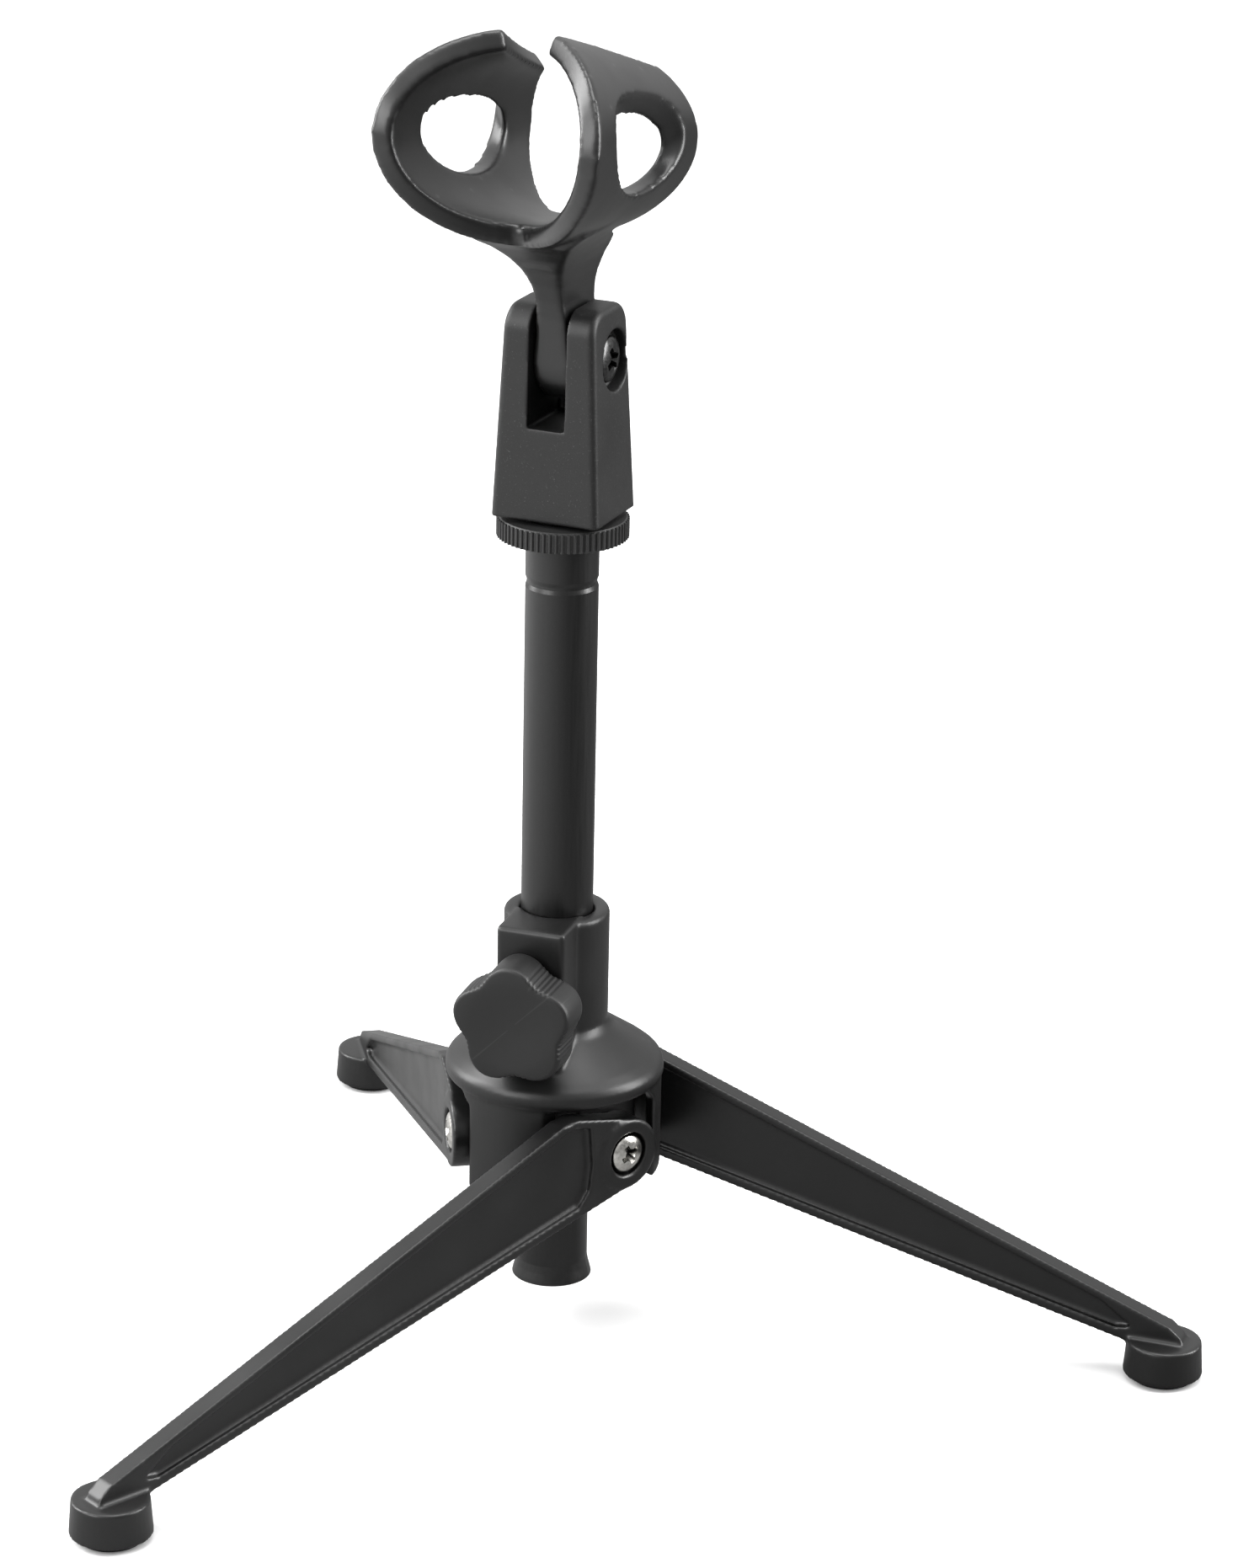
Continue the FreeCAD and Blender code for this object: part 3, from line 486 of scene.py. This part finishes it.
def ribTree():
    tree = bpy.data.node_groups.new("ribsAround", "GeometryNodeTree")
    for name, kind in (("Count", "NodeSocketInt"), ("Reach", "NodeSocketFloat"), ("Width", "NodeSocketFloat"),
                       ("Length", "NodeSocketFloat"), ("Level", "NodeSocketFloat"),
                       ("Finish", "NodeSocketMaterial")):
        tree.interface.new_socket(name, in_out="INPUT", socket_type=kind)
    tree.interface.new_socket("Geometry", in_out="OUTPUT", socket_type="NodeSocketGeometry")
    given = addNode(tree, "NodeGroupInput")
    circle = addNode(tree, "GeometryNodeMeshCircle", links={
        "Vertices": (given, "Count"), "Radius": (given, "Reach"),
    })
    half = addNode(tree, "ShaderNodeMath", {"operation": "MULTIPLY", 1: 0.5}, {0: (given, "Width")})
    rib = addNode(tree, "GeometryNodeMeshCylinder", {"#Vertices": 10}, {
        "Radius": (half, "Value"), "Depth": (given, "Length"),
    })
    stood = addNode(tree, "GeometryNodeInstanceOnPoints", links={
        "Points": (circle, "Mesh"), "Instance": (rib, "Mesh"),
    })
    lift = addNode(tree, "ShaderNodeCombineXYZ", links={"Z": (given, "Level")})
    moved = addNode(tree, "GeometryNodeTransform", links={
        "Geometry": (stood, "Instances"), "Translation": (lift, "Vector"),
    })
    real = addNode(tree, "GeometryNodeRealizeInstances", links={"Geometry": (moved, "Geometry")})
    painted = addNode(tree, "GeometryNodeSetMaterial", links={
        "Geometry": (real, "Geometry"), "Material": (given, "Finish"),
    })
    addNode(tree, "NodeGroupOutput", links={"Geometry": (painted, "Geometry")})
    return tree


def setInput(modifier, name, value):
    for item in modifier.node_group.interface.items_tree:
        if item.in_out == "INPUT" and item.name == name:
            modifier[item.identifier] = value


ringLow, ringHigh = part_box("lock_ring")
ringMid = (ringLow.z + ringHigh.z) / 2
ringTall = ringHigh.z - ringLow.z
ribHolder = linked("ringRibsTemp", bpy.data.meshes.new("ringRibsTemp"))
ribs = ribHolder.modifiers.new("ribs", "NODES")
ribs.node_group = ribTree()
for name, value in (("Count", ringLook["ribs"]), ("Reach", ringLook["coreMm"] * mm),
                    ("Width", ringLook["ribMm"] * mm), ("Length", ringTall - ringLook["bevelMm"] * mm),
                    ("Level", ringMid), ("Finish", grainedNylon)):
    setInput(ribs, name, value)
ribMesh = baked(ribHolder)
core, bore, bevel = (ringLook[key] * mm for key in ("coreMm", "boreMm", "bevelMm"))
ringProfile = [
    (bore, ringHigh.z), (bore, ringLow.z), (core - bevel, ringLow.z), (core, ringLow.z + bevel),
    (core, ringHigh.z - bevel), (core - bevel, ringHigh.z), (bore, ringHigh.z),
]
ringShape = lathed(ringProfile, 128)
bmesh.ops.remove_doubles(ringShape, verts=ringShape.verts, dist=0.001 * mm)
ringShape.from_mesh(ribMesh)
ringMesh = bpy.data.meshes.new("lockRing")
ringShape.to_mesh(ringMesh)
ringShape.free()
ringMesh.set_sharp_from_angle(angle=math.radians(40))
finishedPiece("lockRing", ringMesh, grainedNylon, "ring", ["lock_ring"])
print("lock ring made")


# CAD nodes that show as they are

finishes = {
    "mast_tube": coatedTube, "mast_plug": darkOxide, "clamp_insert": turnedBrass, "clamp_screw": zincPlate,
    "clip_nut": darkOxide,
}
for mark in legTurns:
    finishes["foot_pad_" + mark] = padRubber
    finishes["leg_washer_" + mark] = zincPlate
for node, finish in finishes.items():
    thing = frame["nodes"][node]
    thing.data.materials.clear()
    thing.data.materials.append(finish)


# stage, light and camera

def stageFloor():
    # white to the camera; what the stand reflects is darker, and darkest behind it and to its right
    material, tree = newMaterial("paperSweep")
    paper = addNode(tree, "ShaderNodeBsdfDiffuse", {"#Color": (0.74, 0.74, 0.74, 1)})
    place = addNode(tree, "ShaderNodeTexCoord")
    along = addNode(tree, "ShaderNodeVectorMath", {"operation": "DOT_PRODUCT", 1: (-0.86, -0.51, 0)}, {
        0: (place, "Object"),
    })
    tone = addNode(tree, "ShaderNodeMapRange", {
        "#From Min": -0.2, "#From Max": 0.45, "#To Min": 0.1, "#To Max": 0.52,
    }, {"Value": (along, "Value")})
    shaded = addNode(tree, "ShaderNodeBsdfDiffuse", links={"Color": (tone, "Result")})
    ray = addNode(tree, "ShaderNodeLightPath")
    seen = addNode(tree, "ShaderNodeMixShader", links={
        "Fac": (ray, "Is Camera Ray"), 1: (shaded, "BSDF"), 2: (paper, "BSDF"),
    })
    addNode(tree, "ShaderNodeOutputMaterial", links={"Surface": (seen, "Shader")})
    mesh = bpy.data.meshes.new("floor")
    reach = floorReach
    mesh.from_pydata([(-reach, -reach, 0), (reach, -reach, 0), (reach, reach, 0), (-reach, reach, 0)], [],
                     [(0, 1, 2, 3)])
    mesh.materials.append(material)
    linked("floor", mesh)


def softLight(name, place, aim, width, height, power):
    light = bpy.data.lights.new(name, "AREA")
    light.shape = "RECTANGLE"
    light.size = width
    light.size_y = height
    light.energy = power
    holder = linked(name, light)
    holder.location = place
    holder.rotation_euler = (Vector(aim) - Vector(place)).to_track_quat("-Z", "Y").to_euler()


def studioWorld(look):
    # a pale room, brighter above and to the left
    world = bpy.data.worlds.new("paleRoom")
    bpy.context.scene.world = world
    world.use_nodes = True
    tree = world.node_tree
    tree.nodes.clear()
    where = addNode(tree, "ShaderNodeTexCoord")
    along = addNode(tree, "ShaderNodeVectorMath", {"operation": "DOT_PRODUCT", 1: look["brightSide"]}, {
        0: (where, "Generated"),
    })
    level = addNode(tree, "ShaderNodeMapRange", {
        "#From Min": -0.8, "#From Max": 0.8, "#To Min": look["dim"], "#To Max": look["bright"],
    }, {"Value": (along, "Value")})
    glow = addNode(tree, "ShaderNodeBackground", {"#Color": (1, 1, 1, 1)}, {"Strength": (level, "Result")})
    addNode(tree, "ShaderNodeOutputWorld", links={"Surface": (glow, "Background")})


floorReach = 6.0
worldLook = {"brightSide": (-0.55, 0.1, 0.83), "dim": 0.06, "bright": 1.15}
middle = (0, 0, 0.13)
# name: place, width, height, power; lengths in metres, power in watts
softBoxes = {
    "leftBox": ((-1.1, -0.1, 0.75), 0.5, 1.1, 22),
    "frontBox": ((-0.75, -1.2, 0.9), 0.9, 0.9, 16),
    "rightBox": ((1.05, 0.35, 0.6), 0.4, 1.0, 20),
    "topBox": ((0.1, 0.1, 1.5), 0.9, 0.9, 14),
}
stageFloor()
studioWorld(worldLook)
for name, (place, width, height, power) in softBoxes.items():
    softLight(name, place, middle, width, height, power)

cameraLook = {"at": (0.3057, -0.8680, 0.4570), "downDeg": 20.35, "turnDeg": 18.67, "rollDeg": 1.14,
              "lensMm": 145.86, "sensorMm": 36.0}
camera = bpy.data.cameras.new("camera")
camera.sensor_fit = "HORIZONTAL"
camera.sensor_width = cameraLook["sensorMm"]
camera.lens = cameraLook["lensMm"]
camera.clip_start = 0.01
cameraHolder = linked("camera", camera)
cameraHolder.matrix_world = (
    Matrix.Translation(cameraLook["at"])
    @ Matrix.Rotation(math.radians(cameraLook["turnDeg"]), 4, "Z")
    @ Matrix.Rotation(math.radians(90 - cameraLook["downDeg"]), 4, "X")
    @ Matrix.Rotation(math.radians(cameraLook["rollDeg"]), 4, "Z")
)
bpy.context.scene.camera = cameraHolder
bpy.context.scene.view_settings.view_transform = "Standard"
print("stage and camera made")
